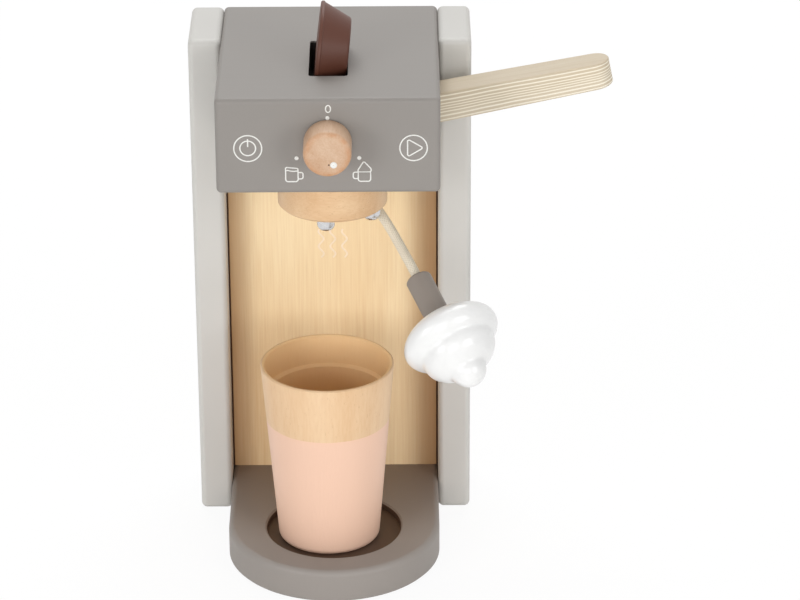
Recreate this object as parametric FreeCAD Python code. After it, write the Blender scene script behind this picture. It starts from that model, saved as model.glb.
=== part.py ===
"""Wooden toy coffee maker with a capsule, a side lever, a dial, a cup and a cream dollop on a cord.

The frame is in millimetres with +Z up. The front faces -Y. The origin lies on the floor, midway
between the two posts, in the plane of their front faces.
"""
import FreeCAD, Part
import math
import os

Vec = FreeCAD.Vector
X_AXIS = Vec(1, 0, 0)
Y_AXIS = Vec(0, 1, 0)
Z_AXIS = Vec(0, 0, 1)

# Posts
BODY_WIDTH = 118.0
BODY_HEIGHT = 220.0
POST_THICKNESS = 13.8
POST_DEPTH = 42.0
POST_EDGE = 2.5
BAY_WIDTH = BODY_WIDTH - 2 * POST_THICKNESS

# Base plate with its round nose and the recess for the cup
BASE_THICKNESS = 14.3
BASE_STRAIGHT = 38.2
BASE_TOP_EDGE = 2.5
BASE_BOTTOM_EDGE = 1.0
RECESS_RADIUS = 28.7
RECESS_DEPTH = 3.2
RECESS_OFFSET = 41.7
RECESS_LIP = 0.8
RECESS_FLOOR = BASE_THICKNESS - RECESS_DEPTH

# Head, a box of boards between the posts
HEAD_HEIGHT = 41.0
HEAD_OVERHANG = 65.5
HEAD_EDGE = 2.0
FRONT_BOARD = 12.0
TOP_BOARD = 13.0
SIDE_BOARD = 10.0
FLOOR_BOARD = 8.0
REAR_BOARD = 10.0
HEAD_BOTTOM = BODY_HEIGHT - HEAD_HEIGHT
TOP_BOARD_UNDERSIDE = BODY_HEIGHT - TOP_BOARD
FLOOR_BOARD_TOP = HEAD_BOTTOM + FLOOR_BOARD
FRONT_BOARD_REAR = -HEAD_OVERHANG + FRONT_BOARD
HEAD_INNER_HALF = BAY_WIDTH / 2 - SIDE_BOARD

# Rear panel, set back between the posts
PANEL_THICKNESS = 9.0
PANEL_SETBACK = 13.7
PANEL_ARRIS = 0.8

# Hidden dowels
DOWEL_RADIUS = 3.0
DOWEL_LENGTH = 16.0
DOWEL_SPACING = 20.0
PANEL_DOWEL_RADIUS = 2.5
PANEL_DOWEL_LENGTH = 12.0
PANEL_DOWEL_INSET = 7.2
GLUE_GAP = 0.02
PANEL_GAP = GLUE_GAP
DOWEL_END_GAP = 0.5

# Capsule slot and the shelf that closes it below
SLOT_WIDTH = 16.0
SLOT_LENGTH = 40.0
SLOT_OFFSET = 20.5
SLOT_CORNER = 1.5
SHELF_THICKNESS = 4.0
SHELF_MARGIN = 6.0

# Capsule: a rim and a tapered body, leaning in the slot
CAPSULE_RIM_RADIUS = 18.5
CAPSULE_RIM_THICKNESS = 1.7
CAPSULE_RIM_STEP = 0.5
CAPSULE_RIM_EDGE = 0.5
CAPSULE_END_RADIUS = 12.6
CAPSULE_LENGTH = 13.0
CAPSULE_CORNER = 1.6
CAPSULE_LEAN = 6.5
CAPSULE_CLEARANCE = 0.1
CAPSULE_SIDE_CLEARANCE = 0.25

# Lever on its pin
LEVER_WIDTH_ROOT = 16.0
LEVER_WIDTH_TIP = 14.2
LEVER_THICKNESS_ROOT = 13.2
LEVER_THICKNESS_TIP = 11.0
LEVER_LENGTH = 93.7
LEVER_EDGE = 0.8
LEVER_TILT = 11.3
LEVER_TRAVEL = 18.5
LEVER_OFFSET = 18.0
LEVER_PIVOT_INSET = 11.2
LEVER_PIVOT_RISE = 8.4
LEVER_SIDE_CLEARANCE = 0.4
LEVER_NOTCH_CLEARANCE = 0.5
PIN_RADIUS = 3.0
PIN_CLEARANCE = 0.08
BEARER_THICKNESS = 7.0
BEARER_WIDTH = 15.0
BEARER_TOP_GAP = 3.0
LEVER_PIVOT_X = HEAD_INNER_HALF - LEVER_PIVOT_INSET
LEVER_PIVOT_Z = FLOOR_BOARD_TOP + LEVER_PIVOT_RISE

# Dial knob
KNOB_RADIUS = 9.7
KNOB_LENGTH = 14.0
KNOB_FRONT_EDGE = 1.7
KNOB_BACK_EDGE = 0.6
KNOB_HEIGHT = 22.6
KNOB_GAP = 0.3
SPIGOT_RADIUS = 4.0
SPIGOT_CLEARANCE = 0.1
KNOB_WASHER_RADIUS = 5.0
KNOB_WASHER_THICKNESS = 1.0
KNOB_SCREW_RADIUS = 1.6
KNOB_SCREW_LENGTH = 12.0
KNOB_SCREW_HEAD_RADIUS = 3.4
KNOB_SCREW_HEAD = 2.0

# Brew head under the head, with two round-nosed studs
BREW_RADIUS = 22.5
BREW_HEIGHT = 13.8
BREW_EDGE = 1.1
BREW_SHIFT = 1.2
BREW_SCREW_RADIUS = 2.0
BREW_SCREW_LENGTH = 16.0
BREW_SCREW_HEAD_RADIUS = 4.0
BREW_SCREW_HEAD = 2.4
STUD_RADIUS = 3.6
STUD_PROUD = 5.0
STUD_DEPTH = 4.0
STUD_NOSE = 2.6
STUD_CIRCLE = 17.3
STUD_ANGLES = (261.7, 337.7)
BREW_BOTTOM = HEAD_BOTTOM - BREW_HEIGHT

# Cream on its cord. The cord swings about the first point of its route.
CORD_RADIUS = 2.0
CORD_HOLE_CLEARANCE = 0.2
CORD_ROUTE = (
    (18.6, -40.5, 162.9),
    (24.1, -47.8, 157.3),
    (29.1, -55.8, 150.9),
    (33.5, -64.0, 145.9),
    (38.2, -72.0, 139.4),
)
CORD_ARC_SHARE = 0.45
KNOT_RADIUS = 4.6
FERRULE_RADIUS = 5.4
FERRULE_LENGTH = 22.0
FERRULE_EDGE = 1.2
FERRULE_SOCKET = 5.5
FERRULE_TENON_RADIUS = 3.0
FERRULE_TENON_LENGTH = 8.0
FERRULE_AXIS = Vec(0.405, -0.750, -0.523)

# Whipped cream: three swollen turns, each with its radius, half height, place along the grip's
# axis, place to the side and lean
CREAM_TURNS = (
    ("base", 20.4, 9.9, 8.8, 0.7, 0.6),
    ("middle", 15.75, 10.6, 15.9, 1.0, 4.2),
    ("tip", 7.7, 8.15, 24.2, 0.9, 0.0),
)
CREAM_SIDE = Vec(0.890, 0.192, 0.414)

# Cup standing in the recess
CUP_RIM_RADIUS = 28.1
CUP_FOOT_RADIUS = 21.4
CUP_HEIGHT = 80.6
CUP_RIM_WALL = 1.7
CUP_SHOULDER = 1.2
CUP_SHOULDER_DEPTH = 12.5
CUP_FLOOR = 7.0
CUP_FOOT_EDGE = 2.2
CUP_RIM_EDGE = 0.5
CUP_SHIFT = -2.0


def slab(x0, x1, y0, y1, z0, z1):
    """Board with its corners at the given places."""
    return Part.makeBox(x1 - x0, y1 - y0, z1 - z0, Vec(x0, y0, z0))


def rod(radius, length, start, direction):
    """Round bar from a start point along a direction."""
    return Part.makeCylinder(radius, length, start, direction)


def edges_at(shape, direction=None, **places):
    """Edges whose centre has the given coordinates, and that run along direction if it is given."""
    found = []
    for edge in shape.Edges:
        centre = edge.CenterOfMass
        if any(abs(getattr(centre, axis) - value) > 0.01 for axis, value in places.items()):
            continue
        if direction is not None:
            run = edge.valueAt(edge.LastParameter) - edge.valueAt(edge.FirstParameter)
            if run.Length < 1e-6 or run.cross(direction).Length > 1e-4 * run.Length:
                continue
        found.append(edge)
    return found


def turned(profile, axis_point, axis_direction):
    """Solid of revolution of a closed list of edges."""
    face = Part.Face(Part.Wire(profile))
    return face.revolve(axis_point, axis_direction, 360)


def polyline(points):
    """Straight edges through the points, closed back to the first."""
    ring = list(points) + [points[0]]
    return [Part.makeLine(a, b) for a, b in zip(ring, ring[1:])]


def surface_points(shape):
    """Closely spaced points on the surface of a shape."""
    return shape.tessellate(0.01)[0]


def post(side):
    """Upright board at the left (-1) or right (+1), with all edges rounded."""
    inner = side * BAY_WIDTH / 2
    outer = side * BODY_WIDTH / 2
    board = slab(min(inner, outer), max(inner, outer), 0, POST_DEPTH, 0, BODY_HEIGHT)
    board = board.makeFillet(POST_EDGE, board.Edges)
    return board.cut(frame_dowel_solids(side, GLUE_GAP, DOWEL_END_GAP))


def frame_dowel_places():
    """Y and Z of the dowels that join a post to the base plate and to the head."""
    first = (POST_DEPTH - DOWEL_SPACING) / 2
    head_z = (FLOOR_BOARD_TOP + TOP_BOARD_UNDERSIDE) / 2
    return [(y, z) for z in (BASE_THICKNESS / 2, head_z) for y in (first, first + DOWEL_SPACING)]


def frame_dowel_solids(side, radial=0.0, end=0.0):
    """The four dowels of one post, or their holes when clearances are given."""
    length = DOWEL_LENGTH + 2 * end
    start = side * BAY_WIDTH / 2 - length / 2
    return Part.makeCompound([
        rod(DOWEL_RADIUS + radial, length, Vec(start, y, z), X_AXIS) for y, z in frame_dowel_places()
    ])


def panel_dowel_solids(z, radial=0.0, end=0.0):
    """The two dowels at the lower or upper end of the rear panel, or their holes."""
    length = PANEL_DOWEL_LENGTH + 2 * end
    y = PANEL_SETBACK + PANEL_THICKNESS / 2
    x = HEAD_INNER_HALF - PANEL_DOWEL_INSET
    return Part.makeCompound([
        rod(PANEL_DOWEL_RADIUS + radial, length, Vec(side * x, y, z - length / 2), Z_AXIS) for side in (-1, 1)
    ])


def base_outline(z):
    """Plan of the base plate: straight sides, then a half round nose."""
    half = BAY_WIDTH / 2
    nose = -BASE_STRAIGHT
    rear_left, rear_right = Vec(-half, POST_DEPTH, z), Vec(half, POST_DEPTH, z)
    front_left, front_right = Vec(-half, nose, z), Vec(half, nose, z)
    tip = Vec(0, nose - half, z)
    return Part.Wire([
        Part.makeLine(front_left, rear_left),
        Part.makeLine(rear_left, rear_right),
        Part.makeLine(rear_right, front_right),
        Part.Arc(front_right, tip, front_left).toShape(),
    ])


def base_plate():
    """Plate between the posts, rounded along its outline, with the cup's recess."""
    plate = Part.Face(base_outline(0)).extrude(Vec(0, 0, BASE_THICKNESS))
    top = [edge for edge in plate.Edges if edge.BoundBox.ZMin > BASE_THICKNESS - 0.01]
    plate = plate.makeFillet(BASE_TOP_EDGE, top)
    bottom = [edge for edge in plate.Edges if edge.BoundBox.ZMax < 0.01]
    plate = plate.makeChamfer(BASE_BOTTOM_EDGE, bottom)
    recess = rod(RECESS_RADIUS, RECESS_DEPTH + 1, Vec(0, -RECESS_OFFSET, RECESS_FLOOR), Z_AXIS)
    plate = plate.cut(recess)
    lip = [edge for edge in edges_at(plate, x=0, y=-RECESS_OFFSET, z=BASE_THICKNESS)]
    plate = plate.makeChamfer(RECESS_LIP, lip)
    for side in (-1, 1):
        plate = plate.cut(frame_dowel_solids(side, GLUE_GAP, DOWEL_END_GAP))
    return plate.cut(panel_dowel_solids(BASE_THICKNESS, GLUE_GAP, DOWEL_END_GAP))


def rear_panel():
    """Plywood back of the bay, with bevelled front arrises against the posts."""
    half = BAY_WIDTH / 2 - PANEL_GAP
    board = slab(-half, half, PANEL_SETBACK, PANEL_SETBACK + PANEL_THICKNESS, BASE_THICKNESS, HEAD_BOTTOM)
    front_edges = edges_at(board, Z_AXIS, x=-half, y=PANEL_SETBACK)
    front_edges += edges_at(board, Z_AXIS, x=half, y=PANEL_SETBACK)
    board = board.makeChamfer(PANEL_ARRIS, front_edges)
    for z in (BASE_THICKNESS, HEAD_BOTTOM):
        board = board.cut(panel_dowel_solids(z, GLUE_GAP, DOWEL_END_GAP))
    return board


def head_front_board():
    """Front of the head, rounded at all outer edges, with the hole for the knob's spigot."""
    half = BAY_WIDTH / 2
    board = slab(-half, half, -HEAD_OVERHANG, FRONT_BOARD_REAR, HEAD_BOTTOM, BODY_HEIGHT)
    outer = [edge for edge in board.Edges if edge.BoundBox.YMin < FRONT_BOARD_REAR - 0.01]
    board = board.makeFillet(HEAD_EDGE, outer)
    start = Vec(0, -HEAD_OVERHANG - 1, HEAD_BOTTOM + KNOB_HEIGHT)
    return board.cut(rod(SPIGOT_RADIUS + SPIGOT_CLEARANCE, FRONT_BOARD + 2, start, Y_AXIS))


def slot_prism(z0, z1):
    """Upright prism with the plan of the capsule slot."""
    centre = -SLOT_OFFSET
    prism = slab(-SLOT_WIDTH / 2, SLOT_WIDTH / 2, centre - SLOT_LENGTH / 2, centre + SLOT_LENGTH / 2, z0, z1)
    return prism.makeFillet(SLOT_CORNER, edges_at(prism, Z_AXIS))


def head_top_board():
    """Top of the head behind the front board, with the capsule slot."""
    half = BAY_WIDTH / 2
    board = slab(-half, half, FRONT_BOARD_REAR, POST_DEPTH, TOP_BOARD_UNDERSIDE, BODY_HEIGHT)
    middle = (FRONT_BOARD_REAR + POST_DEPTH) / 2
    edges = edges_at(board, Y_AXIS, y=middle, z=BODY_HEIGHT) + edges_at(board, y=POST_DEPTH, z=BODY_HEIGHT)
    edges += edges_at(board, Z_AXIS, y=POST_DEPTH)
    board = board.makeFillet(HEAD_EDGE, edges)
    return board.cut(slot_prism(TOP_BOARD_UNDERSIDE - 1, BODY_HEIGHT + 1))


def capsule_shelf():
    """Thin board glued under the slot, on which the capsule stands."""
    half_x = SLOT_WIDTH / 2 + SHELF_MARGIN
    half_y = SLOT_LENGTH / 2 + SHELF_MARGIN
    z1 = TOP_BOARD_UNDERSIDE
    return slab(-half_x, half_x, -SLOT_OFFSET - half_y, -SLOT_OFFSET + half_y, z1 - SHELF_THICKNESS, z1)


def head_side_board(side):
    """Side of the head under the top board, with the post's dowel holes."""
    outer = side * BAY_WIDTH / 2
    inner = side * HEAD_INNER_HALF
    board = slab(min(inner, outer), max(inner, outer), FRONT_BOARD_REAR, POST_DEPTH,
                 HEAD_BOTTOM, TOP_BOARD_UNDERSIDE)
    edges = edges_at(board, Y_AXIS, x=outer, z=HEAD_BOTTOM) + edges_at(board, Z_AXIS, x=outer, y=POST_DEPTH)
    board = board.makeFillet(HEAD_EDGE, edges)
    return board.cut(frame_dowel_solids(side, GLUE_GAP, DOWEL_END_GAP))


def lever_notch_floor():
    """Height of the notch's floor, just under the lever when it is pressed right down."""
    angle = math.radians(LEVER_TILT - LEVER_TRAVEL)
    reach = BAY_WIDTH / 2 - LEVER_PIVOT_X
    drop = LEVER_THICKNESS_ROOT / 2 / math.cos(angle)
    return LEVER_PIVOT_Z + reach * math.tan(angle) - drop - LEVER_NOTCH_CLEARANCE


def head_right_board():
    """Right side of the head, notched from above for the lever."""
    half_width = LEVER_WIDTH_ROOT / 2 + LEVER_SIDE_CLEARANCE
    notch = slab(HEAD_INNER_HALF - 1, BAY_WIDTH / 2 + 1, -LEVER_OFFSET - half_width,
                 -LEVER_OFFSET + half_width, lever_notch_floor(), TOP_BOARD_UNDERSIDE + 1)
    return head_side_board(1).cut(notch)


def head_floor():
    """Bottom of the head, drilled for the brew head's screw and for the cord."""
    half = HEAD_INNER_HALF
    board = slab(-half, half, FRONT_BOARD_REAR, POST_DEPTH, HEAD_BOTTOM, FLOOR_BOARD_TOP)
    screw_radius = BREW_SCREW_RADIUS + GLUE_GAP
    board = board.cut(rod(screw_radius, FLOOR_BOARD + 2, brew_centre(HEAD_BOTTOM - 1), Z_AXIS))
    board = board.cut(cord_hole())
    return board.cut(panel_dowel_solids(HEAD_BOTTOM, GLUE_GAP, DOWEL_END_GAP))


def head_rear_board():
    """Back of the head between its sides."""
    return slab(-HEAD_INNER_HALF, HEAD_INNER_HALF, POST_DEPTH - REAR_BOARD, POST_DEPTH,
                FLOOR_BOARD_TOP, TOP_BOARD_UNDERSIDE)


def lever_bearer(side):
    """Block in front of (-1) or behind (+1) the lever that holds one end of its pin."""
    near = LEVER_WIDTH_ROOT / 2 + LEVER_SIDE_CLEARANCE
    y_near = -LEVER_OFFSET + side * near
    y_far = y_near + side * BEARER_THICKNESS
    block = slab(LEVER_PIVOT_X - BEARER_WIDTH / 2, LEVER_PIVOT_X + BEARER_WIDTH / 2,
                 min(y_near, y_far), max(y_near, y_far),
                 FLOOR_BOARD_TOP, TOP_BOARD_UNDERSIDE - BEARER_TOP_GAP)
    return block.cut(pivot_rod(PIN_RADIUS + GLUE_GAP, BEARER_THICKNESS))


def pivot_rod(radius, beyond):
    """Round bar on the lever's axis, reaching beyond both faces of the lever."""
    half = LEVER_WIDTH_ROOT / 2 + LEVER_SIDE_CLEARANCE + beyond
    return rod(radius, 2 * half, Vec(LEVER_PIVOT_X, -LEVER_OFFSET - half, LEVER_PIVOT_Z), Y_AXIS)


def lever_plan():
    """Plan of the lever: sides that close a little toward a full round outer end."""
    wide, near, far = LEVER_WIDTH_ROOT, LEVER_WIDTH_ROOT / 2, LEVER_WIDTH_TIP / 2
    centre = LEVER_LENGTH - far
    turn = math.acos(far / math.hypot(near, centre)) - math.atan2(centre, near)
    touch_x = centre + far * math.sin(turn)
    touch_y = far * math.cos(turn)
    return Part.Face(Part.Wire([
        Part.makeLine(Vec(-wide, -near, -wide), Vec(0, -near, -wide)),
        Part.makeLine(Vec(0, -near, -wide), Vec(touch_x, -touch_y, -wide)),
        Part.Arc(Vec(touch_x, -touch_y, -wide), Vec(LEVER_LENGTH, 0, -wide),
                 Vec(touch_x, touch_y, -wide)).toShape(),
        Part.makeLine(Vec(touch_x, touch_y, -wide), Vec(0, near, -wide)),
        Part.makeLine(Vec(0, near, -wide), Vec(-wide, near, -wide)),
        Part.makeLine(Vec(-wide, near, -wide), Vec(-wide, -near, -wide)),
    ]))


def lever():
    """Plywood lever, tapered to a rounded outer end, turning on its pin."""
    root, tip = LEVER_THICKNESS_ROOT / 2, LEVER_THICKNESS_TIP / 2
    wide = LEVER_WIDTH_ROOT
    taper = math.asin((root - tip) / LEVER_LENGTH)
    touch_x, touch_z = root * math.sin(taper), root * math.cos(taper)
    beyond = LEVER_LENGTH + wide
    end_z = touch_z - (beyond - touch_x) * math.tan(taper)
    side_view = Part.Wire([
        Part.makeLine(Vec(touch_x, -wide, touch_z), Vec(beyond, -wide, end_z)),
        Part.makeLine(Vec(beyond, -wide, end_z), Vec(beyond, -wide, -end_z)),
        Part.makeLine(Vec(beyond, -wide, -end_z), Vec(touch_x, -wide, -touch_z)),
        Part.Arc(Vec(touch_x, -wide, -touch_z), Vec(-root, -wide, 0), Vec(touch_x, -wide, touch_z)).toShape(),
    ])
    bar = Part.Face(side_view).extrude(Vec(0, 2 * wide, 0))
    bar = bar.common(lever_plan().extrude(Vec(0, 0, 2 * wide)))
    straight = edges_at(bar, Y_AXIS) + edges_at(bar, Z_AXIS)
    rims = [edge for edge in bar.Edges if not any(edge.isSame(other) for other in straight)]
    bar = bar.makeFillet(LEVER_EDGE, rims)
    bar = bar.cut(rod(PIN_RADIUS + PIN_CLEARANCE, 2 * wide, Vec(0, -wide, 0), Y_AXIS))
    bar.rotate(Vec(0, 0, 0), Y_AXIS, -LEVER_TILT)
    bar.translate(Vec(LEVER_PIVOT_X, -LEVER_OFFSET, LEVER_PIVOT_Z))
    return bar


def knob_point(radius, depth):
    """Point of the knob's profile at a radius and a depth behind the head's front face."""
    return Vec(radius, -HEAD_OVERHANG + depth, HEAD_BOTTOM + KNOB_HEIGHT)


def knob():
    """Turned knob with a spigot through the front board, drilled for its screw."""
    front, back, end = -KNOB_LENGTH, -KNOB_GAP, FRONT_BOARD + KNOB_GAP
    body = turned(polyline([
        knob_point(0, front), knob_point(KNOB_RADIUS, front), knob_point(KNOB_RADIUS, back),
        knob_point(SPIGOT_RADIUS, back), knob_point(SPIGOT_RADIUS, end), knob_point(0, end),
    ]), knob_point(0, 0), Y_AXIS)
    body = body.makeFillet(KNOB_FRONT_EDGE, edges_at(body, x=0, y=-HEAD_OVERHANG + front))
    wide = [edge for edge in edges_at(body, x=0, y=-HEAD_OVERHANG + back)
            if edge.BoundBox.XMax > KNOB_RADIUS - 0.1]
    body = body.makeChamfer(KNOB_BACK_EDGE, wide)
    return body.cut(rod(KNOB_SCREW_RADIUS + GLUE_GAP, KNOB_SCREW_LENGTH + 1, knob_point(0, end + 1), -Y_AXIS))


def knob_washer():
    """Washer behind the front board that keeps the knob in."""
    start = knob_point(0, FRONT_BOARD + KNOB_GAP)
    ring = rod(KNOB_WASHER_RADIUS, KNOB_WASHER_THICKNESS, start, Y_AXIS)
    return ring.cut(rod(KNOB_SCREW_RADIUS + GLUE_GAP, KNOB_WASHER_THICKNESS, start, Y_AXIS))


def round_head_screw(shank_radius, shank_length, head_radius, head_height, seat, direction):
    """Screw whose head sits on a seat point, with its shank along direction."""
    head = rod(head_radius, head_height, seat, -direction)
    rims = [edge for edge in head.Edges if (edge.CenterOfMass - seat).Length > head_height / 2
            and edge.Length > head_radius * 6]
    head = head.makeChamfer(head_height * 0.5, rims)
    return head.fuse(rod(shank_radius, shank_length, seat, direction)).removeSplitter()


def knob_screw():
    seat = knob_point(0, FRONT_BOARD + KNOB_GAP + KNOB_WASHER_THICKNESS)
    return round_head_screw(KNOB_SCREW_RADIUS, KNOB_SCREW_LENGTH, KNOB_SCREW_HEAD_RADIUS,
                            KNOB_SCREW_HEAD, seat, -Y_AXIS)


def brew_centre(z):
    return Vec(BREW_SHIFT, -RECESS_OFFSET, z)


def stud_places():
    """Centres of the studs in the underside of the brew head."""
    places = []
    for angle in STUD_ANGLES:
        turn = math.radians(angle)
        places.append(brew_centre(BREW_BOTTOM) + Vec(math.cos(turn), math.sin(turn), 0) * STUD_CIRCLE)
    return places


def brew_head():
    """Turned disc under the head, over the cup."""
    disc = rod(BREW_RADIUS, BREW_HEIGHT, brew_centre(BREW_BOTTOM), Z_AXIS)
    disc = disc.makeChamfer(BREW_EDGE, edges_at(disc, z=BREW_BOTTOM))
    pilot_depth = BREW_SCREW_LENGTH - FLOOR_BOARD + 0.5
    pilot = rod(BREW_SCREW_RADIUS + GLUE_GAP, pilot_depth + 1, brew_centre(HEAD_BOTTOM - pilot_depth), Z_AXIS)
    disc = disc.cut(pilot)
    for place in stud_places():
        disc = disc.cut(rod(STUD_RADIUS + GLUE_GAP, STUD_DEPTH + 1, place - Z_AXIS, Z_AXIS))
    return disc.cut(cord_hole())


def brew_head_screw():
    return round_head_screw(BREW_SCREW_RADIUS, BREW_SCREW_LENGTH, BREW_SCREW_HEAD_RADIUS,
                            BREW_SCREW_HEAD, brew_centre(FLOOR_BOARD_TOP), -Z_AXIS)


def brew_studs():
    """Round-nosed metal studs pressed into the brew head."""
    studs = []
    for place in stud_places():
        stud = rod(STUD_RADIUS, STUD_PROUD + STUD_DEPTH, place - Z_AXIS * STUD_PROUD, Z_AXIS)
        studs.append(stud.makeFillet(STUD_NOSE, edges_at(stud, z=place.z - STUD_PROUD)))
    return Part.makeCompound(studs)


def cord_hole():
    """Hole for the cord through the brew head and the head's floor."""
    start = Vec(CORD_ROUTE[0][0], CORD_ROUTE[0][1], BREW_BOTTOM - 1)
    return rod(CORD_RADIUS + CORD_HOLE_CLEARANCE, FLOOR_BOARD_TOP - start.z + 1, start, Z_AXIS)


def cord_knot():
    """Fixed stretch of the cord in its hole, with the knot that holds it inside the head."""
    start = Vec(CORD_ROUTE[0][0], CORD_ROUTE[0][1], BREW_BOTTOM)
    tail = rod(CORD_RADIUS, FLOOR_BOARD_TOP - BREW_BOTTOM + KNOT_RADIUS, start, Z_AXIS)
    knot = Part.makeSphere(KNOT_RADIUS, Vec(start.x, start.y, FLOOR_BOARD_TOP + KNOT_RADIUS * 0.8))
    above_floor = slab(start.x - KNOT_RADIUS, start.x + KNOT_RADIUS, start.y - KNOT_RADIUS,
                       start.y + KNOT_RADIUS, FLOOR_BOARD_TOP, FLOOR_BOARD_TOP + 3 * KNOT_RADIUS)
    return tail.fuse(knot.common(above_floor)).removeSplitter()


def cord_path(points):
    """Straight runs joined by tangent arcs, and the smallest arc radius."""
    corners = [Vec(*point) for point in points]
    runs = [b - a for a, b in zip(corners, corners[1:])]
    edges, radii = [], []
    here = corners[0]
    for index in range(1, len(corners) - 1):
        before, after = runs[index - 1], runs[index]
        half_turn = before.getAngle(after) / 2
        setback = CORD_ARC_SHARE * min(before.Length, after.Length)
        radii.append(setback / math.tan(half_turn))
        corner = corners[index]
        start = corner - before.normalize() * setback
        end = corner + Vec(after).normalize() * setback
        toward = ((start + end) * 0.5 - corner).normalize()
        middle = corner + toward * (radii[-1] / math.cos(half_turn) - radii[-1])
        edges.append(Part.makeLine(here, start))
        edges.append(Part.Arc(start, middle, end).toShape())
        here = end
        runs[index - 1] = corners[index] - corners[index - 1]
    edges.append(Part.makeLine(here, corners[-1]))
    return Part.Wire(edges), radii


def cream_cord():
    """Free stretch of the cord, from a round end at its exit to the ferrule's socket."""
    path, radii = cord_path(CORD_ROUTE)
    start = Vec(*CORD_ROUTE[0])
    direction = (Vec(*CORD_ROUTE[1]) - start).normalize()
    section = Part.Wire([Part.makeCircle(CORD_RADIUS, start, direction)])
    tube = path.makePipeShell([section], True, True)
    straight_volume = math.pi * CORD_RADIUS ** 2 * path.Length
    print("cord length %.1f, volume ratio %.4f" % (path.Length, tube.Volume / straight_volume))
    print("cord arc radii", [round(radius, 1) for radius in radii])
    return tube.fuse(Part.makeSphere(CORD_RADIUS, start)).removeSplitter()


def ferrule_axis():
    return Vec(FERRULE_AXIS).normalize()


def ferrule_top():
    """Centre of the ferrule's upper face: the cord ends at the bottom of its socket."""
    return Vec(*CORD_ROUTE[-1]) - ferrule_axis() * FERRULE_SOCKET


def cord_end_bore(radial):
    """Socket along the last run of the cord."""
    end, before = Vec(*CORD_ROUTE[-1]), Vec(*CORD_ROUTE[-2])
    run = end - before
    return rod(CORD_RADIUS + radial, run.Length, end, -run)


def cream_ferrule():
    """Round wooden grip on the cord's end, with a socket above and a tenon below."""
    top, axis = ferrule_top(), ferrule_axis()
    grip = rod(FERRULE_RADIUS, FERRULE_LENGTH, top, axis)
    rims = [edge for edge in grip.Edges if (edge.CenterOfMass - top).Length < 0.01]
    grip = grip.makeFillet(FERRULE_EDGE, rims)
    tenon = rod(FERRULE_TENON_RADIUS, FERRULE_LENGTH + FERRULE_TENON_LENGTH, top, axis)
    grip = grip.fuse(tenon).removeSplitter()
    return grip.cut(cord_end_bore(GLUE_GAP))


def cream_frame():
    """Placement at the grip's foot with +Z along its axis and +X toward the side the turns lean to."""
    foot = ferrule_top() + ferrule_axis() * FERRULE_LENGTH
    return FreeCAD.Placement(foot, FreeCAD.Rotation(CREAM_SIDE, Vec(0, 0, 0), ferrule_axis(), "ZXY"))


def cream_turn(radius, half_height):
    """One swollen turn: an ellipse turned about +Z."""
    ring = Part.Ellipse(Vec(0, 0, 0), max(radius, half_height), min(radius, half_height))
    if half_height > radius:
        ring.rotate(FreeCAD.Placement(Vec(0, 0, 0), FreeCAD.Rotation(Z_AXIS, 90)))
    half = Part.Face(Part.Wire([ring.toShape()]))
    half.rotate(Vec(0, 0, 0), X_AXIS, 90)
    reach = 2 * max(radius, half_height)
    half = half.common(slab(0, reach, -1, 1, -reach, reach))
    return half.revolve(Vec(0, 0, 0), Z_AXIS, 360).Solids[0]


def cream_dollop():
    """Whipped cream of three turns that lean a little further each, round the grip's tenon."""
    turns = []
    for name, radius, half_height, along, aside, lean in CREAM_TURNS:
        turn = cream_turn(radius, half_height)
        turn.rotate(Vec(0, 0, 0), Y_AXIS, lean)
        turn.translate(Vec(aside, 0, along))
        turns.append(turn)
    dollop = turns[0].fuse(turns[1:]).removeSplitter()
    bore_length = FERRULE_TENON_LENGTH + DOWEL_END_GAP + 1
    bore = rod(FERRULE_TENON_RADIUS + GLUE_GAP, bore_length, Vec(0, 0, -1), Z_AXIS)
    seat = rod(FERRULE_RADIUS + GLUE_GAP, 4, Vec(0, 0, -4 + GLUE_GAP), Z_AXIS)
    dollop = dollop.cut(bore).cut(seat)
    dollop.Placement = cream_frame()
    return dollop


def capsule():
    """Capsule with a thin rim, leaning in the slot with its rim on the shelf."""
    rim, body, end = CAPSULE_RIM_RADIUS, CAPSULE_RIM_RADIUS - CAPSULE_RIM_STEP, CAPSULE_END_RADIUS
    length, thick = CAPSULE_LENGTH, CAPSULE_RIM_THICKNESS
    shape = turned(polyline([
        Vec(0, 0, 0), Vec(0, 0, rim), Vec(thick, 0, rim), Vec(thick, 0, body),
        Vec(length, 0, end), Vec(length, 0, 0),
    ]), Vec(0, 0, 0), X_AXIS)
    shape = shape.makeFillet(CAPSULE_CORNER, edges_at(shape, x=length))
    outer = [edge for edge in edges_at(shape, x=0) if edge.BoundBox.ZMax > rim - 0.1]
    shape = shape.makeChamfer(CAPSULE_RIM_EDGE, outer)
    inner = [edge for edge in edges_at(shape, x=thick) if edge.BoundBox.ZMax > rim - 0.1]
    shape = shape.makeChamfer(0.7 * CAPSULE_RIM_STEP, inner)
    shape.rotate(Vec(0, 0, 0), Y_AXIS, CAPSULE_LEAN)
    lowest = min(point.z for point in surface_points(shape))
    shape.translate(Vec(0, -SLOT_OFFSET, TOP_BOARD_UNDERSIDE + CAPSULE_CLEARANCE - lowest))
    in_slot = [point.x for point in surface_points(shape) if point.z <= BODY_HEIGHT + 0.5]
    shape.translate(Vec(SLOT_WIDTH / 2 - CAPSULE_SIDE_CLEARANCE - max(in_slot), 0, 0))
    return shape


def cup_point(z, wall):
    """Point of the cup's profile at a height above its foot, inside a wall of the given thickness."""
    slope = (CUP_RIM_RADIUS - CUP_FOOT_RADIUS) / CUP_HEIGHT
    return Vec(CUP_FOOT_RADIUS + slope * z - wall, 0, z)


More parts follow.
